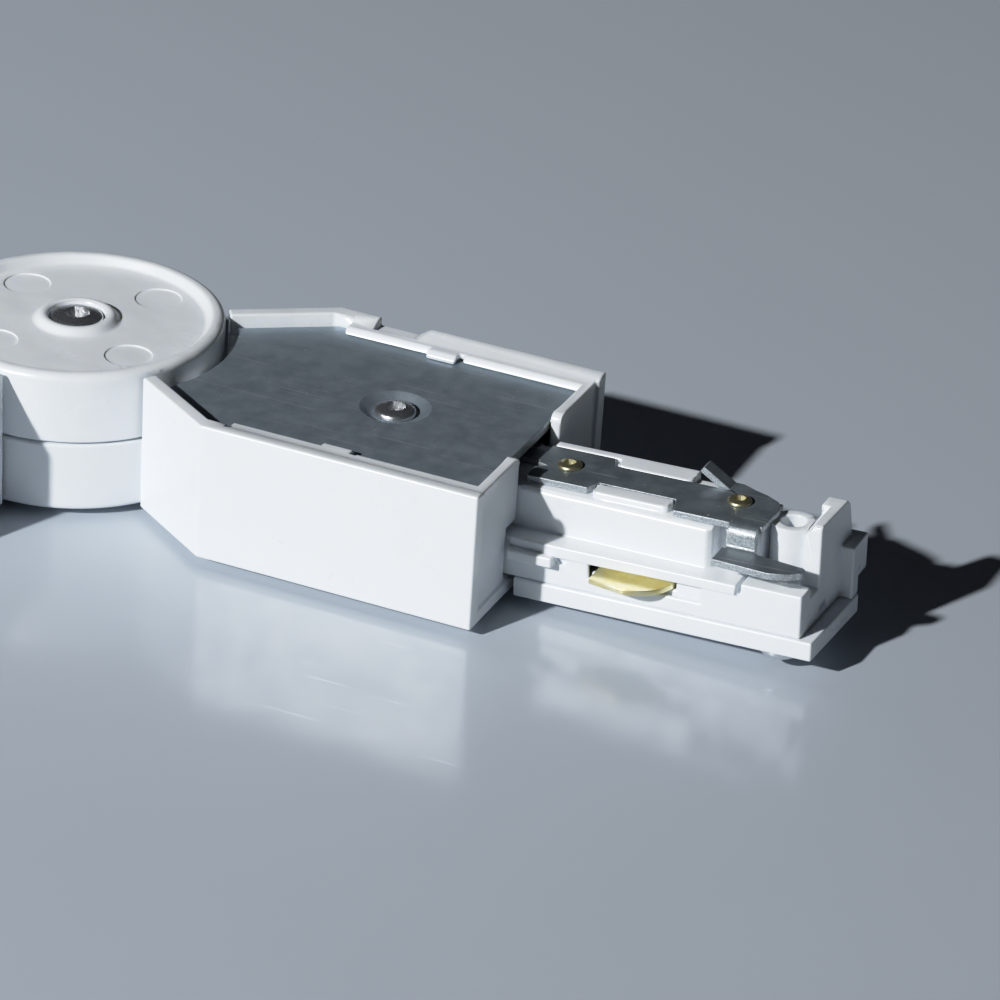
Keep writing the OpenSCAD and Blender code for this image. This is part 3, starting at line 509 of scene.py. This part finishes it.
def seat(piece, place_in):
    """Moves a piece's mesh to its place, turning its faces outwards again if mirrored."""
    piece.data.transform(place_in)
    if place_in.determinant() < 0:
        piece.data.flip_normals()


screw = cross_screw("pivot_screw_finished", head_r=3.0, head_h=0.95, shank_r=1.5,
                    shank_len=9, slot_w=0.8)
seat(screw, Matrix.Translation((0, 0, pivot_seat * MM)))
dress(screw, bright_nickel, "pivot_screw", "right_arm")
for side, body in arms.items():
    screw = cross_screw(side + "_plate_screw_finished", head_r=2.35, head_h=0.95,
                        shank_r=1.25, shank_len=7, slot_w=0.7)
    place_in = Vector((plate_screw_x, 0, dimple_floor + screw_lift)) * MM
    seat(screw, in_arm[side] @ Matrix.Translation(place_in))
    dress(screw, bright_nickel, side + "_plate_screw", body)


# Plugs: a keyed body and a base plate under it, both of the housings' white ABS,
# pitched up a little from the arm, with a screw through the base from below.
plug_edge = 0.23 * MM
arm_length = 57.6
plug_pitch = math.radians(2.5)
base_screw_place = Vector((30.9, -5.6, -screw_lift)) * MM
plug_place = (Matrix.Translation((arm_length * MM, 0, 0))
              @ Matrix.Rotation(-plug_pitch, 4, "Y"))
for side, body in arms.items():
    for part in ("plug_body", "plug_base"):
        plug = finished_copy(f"{side}_{part}", plug_edge)
        dress(plug, moulded_abs, f"{side}_{part}", body)
    screw = cross_screw(side + "_base_screw_finished", head_r=2.2, head_h=1.1,
                        shank_r=1.25, shank_len=6, slot_w=0.6)
    seat(screw, in_arm[side] @ plug_place @ Matrix.Translation(base_screw_place)
         @ Matrix.Rotation(math.pi, 4, "X"))
    dress(screw, bright_nickel, side + "_base_screw", body)


# Earth strips: stamped and bent from thinner zinc-plated sheet, darker than the
# plates. Their upright faces up to 8 mm high have the bright grain of a cut edge.
strip_edge = 0.1 * MM
strip_cut_height = 8 * MM
strip_sheet = zinc_plating("stamped_zinc_plated_strip", "6B757B", "7E888D", 0.48, 0.5)
for side, body in arms.items():
    strip = finished_copy(side + "_earth_strip", strip_edge)
    mark_cut_faces(strip, strip_cut_height)
    dress(strip, strip_sheet, side + "_earth_strip", body)


# Strip screws: two small pan heads to a strip, one near the housing and one
# beside the sprung finger.
strip_screw_z = 12.79
strip_screw_x = {"inner": 3.8, "outer": 23.5}

# Yellow-passivated zinc on steel: pale straw gold in small stains, with a softer
# sheen than the nickel
yellow_zinc, shader, place = new_material("yellow_passivated_steel", Metallic=0.96)
stain = add_node(yellow_zinc, "ShaderNodeTexNoise", [("Vector", place, "Object")],
                 Scale=1 / (0.5 * MM), Detail=3)
gold = add_node(yellow_zinc, "ShaderNodeMixRGB", [("Fac", stain, "Fac")],
                Color1=linear("CFC692"), Color2=linear("EFE9C4"))
wire_up(yellow_zinc, gold, "Color", shader, "Base Color")
worn = add_node(yellow_zinc, "ShaderNodeMapRange", [("Value", stain, "Fac")],
                To_Min=0.3, To_Max=0.42)
wire_up(yellow_zinc, worn, "Result", shader, "Roughness")
for side, body in arms.items():
    for end, x in strip_screw_x.items():
        name = f"{side}_strip_screw_{end}"
        screw = cross_screw(name + "_finished", head_r=1.35, head_h=0.55, shank_r=0.8,
                            shank_len=4.6, slot_w=0.45)
        place_in = Vector((x, 0, strip_screw_z)) * MM
        seat(screw, in_arm[side] @ plug_place @ Matrix.Translation(place_in))
        dress(screw, yellow_zinc, name, body)


# Contacts: stamped brass blades that slide along the conductors of the track,
# one on either side of a plug.
contact_edge = 0.08 * MM

# Stamped brass: pale gold with a broad soft sheen, clouded over a millimetre or
# so and faintly rippled by the tool
brass, shader, place = new_material("stamped_brass", Metallic=1.0)
tarnish = add_node(brass, "ShaderNodeTexNoise", [("Vector", place, "Object")],
                   Scale=1 / (1.3 * MM), Detail=5, Roughness=0.6)
patch = add_node(brass, "ShaderNodeMapRange", [("Value", tarnish, "Fac")],
                 From_Min=0.38, From_Max=0.62)
golden = add_node(brass, "ShaderNodeMixRGB", [("Fac", patch, "Result")],
                  Color1=linear("F5E5A4"), Color2=linear("FDF6CC"))
wire_up(brass, golden, "Color", shader, "Base Color")
buffed = add_node(brass, "ShaderNodeMapRange", [("Value", tarnish, "Fac")],
                  To_Min=0.3, To_Max=0.45)
wire_up(brass, buffed, "Result", shader, "Roughness")
press = add_node(brass, "ShaderNodeTexNoise", [("Vector", place, "Object")],
                 Scale=1 / (0.3 * MM), Detail=2)
ripple = add_node(brass, "ShaderNodeBump", [("Height", press, "Fac")],
                  Strength=0.25, Distance=0.03 * MM)
wire_up(brass, ripple, "Normal", shader, "Normal")
for side, body in arms.items():
    for pole in ("live", "neutral"):
        contact = finished_copy(f"{side}_{pole}_contact", contact_edge)
        dress(contact, brass, f"{side}_{pole}_contact", body)


# Wires: three insulated leads through the hub, crimped at both ends, live and
# neutral between the contacts, earth between the strips. Each has two colours and
# its points in the right arm, in the hub and in the left arm, in millimetres.
wire_radius = 0.95
contact_tail = 9.6
crimp_length = 3.2
wire_end = arm_length - contact_tail - 1
wire_lead = wire_end - crimp_length
handle_share = 0.22
tube_merge = 0.005 * MM
stripe_edge = 0.6
wire_runs = {
    "live": ("6E3D1E", "7C4826",
             [(wire_end, -4, 4.34), (wire_lead, -4, 4.2), (39, -7.5, 4.6), (33, -8, 4.8),
              (26, -5.5, 4.8), (19.5, -4, 4.6), (14, -5, 4.6)],
             [(7.6, -7.4, 5.6), (2.4, -10, 7.4), (-2.6, -11.2, 9.4)],
             [(14, -4.4, 10.6), (19.5, -4, 10.6), (26, -5.5, 9), (33, -8, 6),
              (39, -7.5, 4.6), (wire_lead, -4, 4.2), (wire_end, -4, 4.34)]),
    "neutral": ("1F4E9C", "2A5CB0",
                [(wire_end, 4, 4.34), (wire_lead, 4, 4.2), (39, 7.5, 4.6), (33, 7.5, 4.8),
                 (26, 4.5, 4.8), (19.5, 2, 4.6), (14, 2.6, 4.6)],
                [(7.2, 4.4, 4.8), (2.4, 8, 5.4), (-3.4, 7.6, 6.4), (-7.6, 3.4, 7.8),
                 (-8.6, -2, 9.2)],
                [(14, 2.6, 10.6), (19.5, 2, 10.6), (26, 4.5, 9), (33, 7.5, 6),
                 (39, 7.5, 4.6), (wire_lead, 4, 4.2), (wire_end, 4, 4.34)]),
    "earth": ("3E8A3A", "D9CF3C",
              [(wire_end, 1.2, 10.9), (wire_lead + 0.1, 1.3, 10.75),
               (wire_lead - 0.8, 4.2, 10.6), (39, 7.2, 10), (33, 10, 8), (26, 8, 5.4),
               (19.5, 5.5, 4.6), (14, 5.8, 4.8)],
              [(8, 8.8, 5), (1, 11.8, 5.6), (-6.4, 9.8, 6.6), (-11, 4, 8), (-12, -2.6, 9.4)],
              [(14, 6, 10.6), (19.5, 5.5, 10.6), (26, 8, 10.6), (33, 10, 10.6),
               (39, 7.2, 10.7), (wire_lead - 0.8, 4.2, 10.7), (wire_lead + 0.1, 1.3, 10.75),
               (wire_end, 1.2, 10.9)]),
}
for name, (first, second, in_right, in_hub, in_left) in wire_runs.items():
    # PVC insulation: smooth and waxy. The earth's green and yellow parts meet
    # along the wire, and the other two only vary faintly.
    sheath, shader, place = new_material(name + "_pvc_insulation", IOR=1.53, Roughness=0.38)
    if name == "earth":
        round_wire = add_node(sheath, "ShaderNodeSeparateXYZ", [("Vector", place, "UV")])
        stripe = add_node(sheath, "ShaderNodeMath", [(0, round_wire, "Y")],
                          operation="GREATER_THAN")
        stripe.inputs[1].default_value = stripe_edge
        blend_by = (stripe, "Value")
    else:
        waxy = add_node(sheath, "ShaderNodeTexNoise", [("Vector", place, "Object")],
                        Scale=1 / (3 * MM), Detail=3)
        blend_by = (waxy, "Fac")
    pvc = add_node(sheath, "ShaderNodeMixRGB", [("Fac", *blend_by)],
                   Color1=linear(first), Color2=linear(second))
    wire_up(sheath, pvc, "Color", shader, "Base Color")

    route = [Vector(p) * MM for p in in_right + in_hub]
    route += [left_turn @ (Vector(p) * MM) for p in in_left]
    path = bpy.data.curves.new(name + "_path", "CURVE")
    path.dimensions = "3D"
    path.bevel_depth = wire_radius * MM
    path.bevel_resolution = 5
    path.resolution_u = 8
    path.use_fill_caps = True
    run = path.splines.new("BEZIER")
    run.bezier_points.add(len(route) - 1)
    for k, knot in enumerate(run.bezier_points):
        before, at, after = route[max(k - 1, 0)], route[k], route[min(k + 1, len(route) - 1)]
        ahead = (after - before).normalized()
        knot.handle_left_type = knot.handle_right_type = "FREE"
        knot.co = at
        knot.handle_left = at - ahead * (at - before).length * handle_share
        knot.handle_right = at + ahead * (after - at).length * handle_share
    guide = new_object(name + "_path", path)
    mesh = bpy.data.meshes.new_from_object(
        guide.evaluated_get(bpy.context.evaluated_depsgraph_get()))
    bpy.data.objects.remove(guide)
    tube = bmesh.new()
    tube.from_mesh(mesh)
    bmesh.ops.remove_doubles(tube, verts=tube.verts, dist=tube_merge)
    for face in tube.faces:
        face.smooth = len(face.verts) == 4
    tube.to_mesh(mesh)
    tube.free()
    lead = new_object(name + "_wire_finished", mesh)
    mesh.materials.clear()
    mesh.materials.append(sheath)
    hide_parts(name + "_wire")
    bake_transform(lead)
